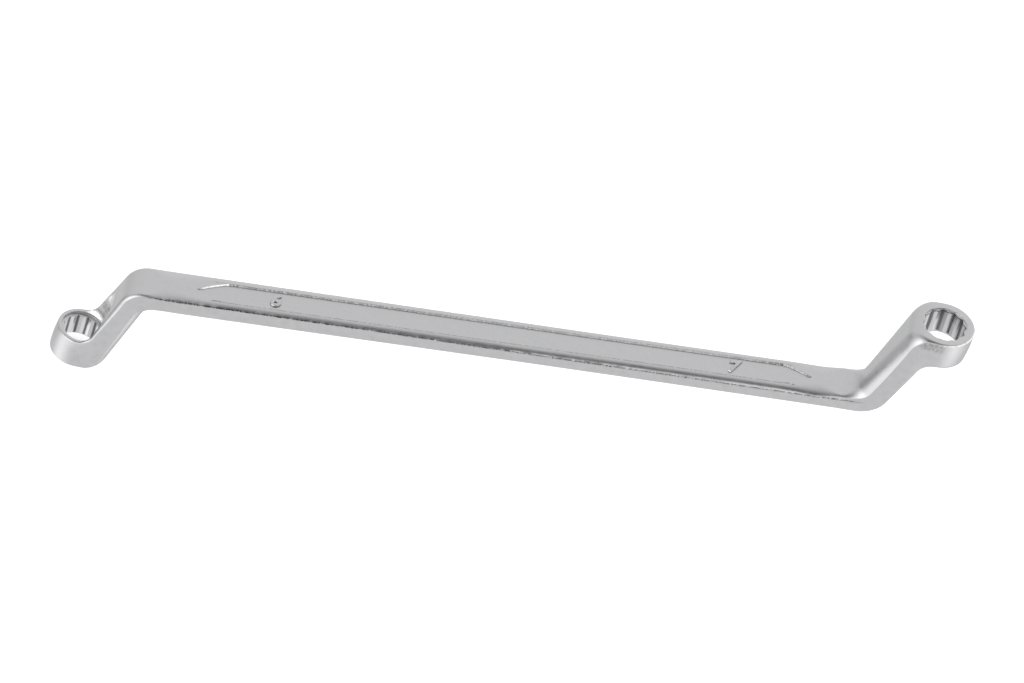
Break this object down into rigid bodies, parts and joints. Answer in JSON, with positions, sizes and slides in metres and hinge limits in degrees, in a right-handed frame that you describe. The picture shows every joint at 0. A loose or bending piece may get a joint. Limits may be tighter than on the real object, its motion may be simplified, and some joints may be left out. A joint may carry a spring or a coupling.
{
  "type": "ring spanner",
  "caption": "Double-ended ring spanner with deep-offset rings on cranked necks, multi-point sockets and a flat shank with a leaf-ended recess in each face.",
  "frame": {"origin": "under the middle of the outer box, at the level of the small ring's nut face", "axes": "+Z along both ring axes, from the small ring towards the large ring's nut face; +X from the small ring to the large ring; the shank rises by 9.5 degrees towards +X"},
  "size_m": [0.1586, 0.011, 0.0616],
  "materials": {
    "satin_chrome": "satin"
  },
  "bodies": {
    "root": {"forged_spanner": "satin_chrome"}
  },
  "joints": []
}
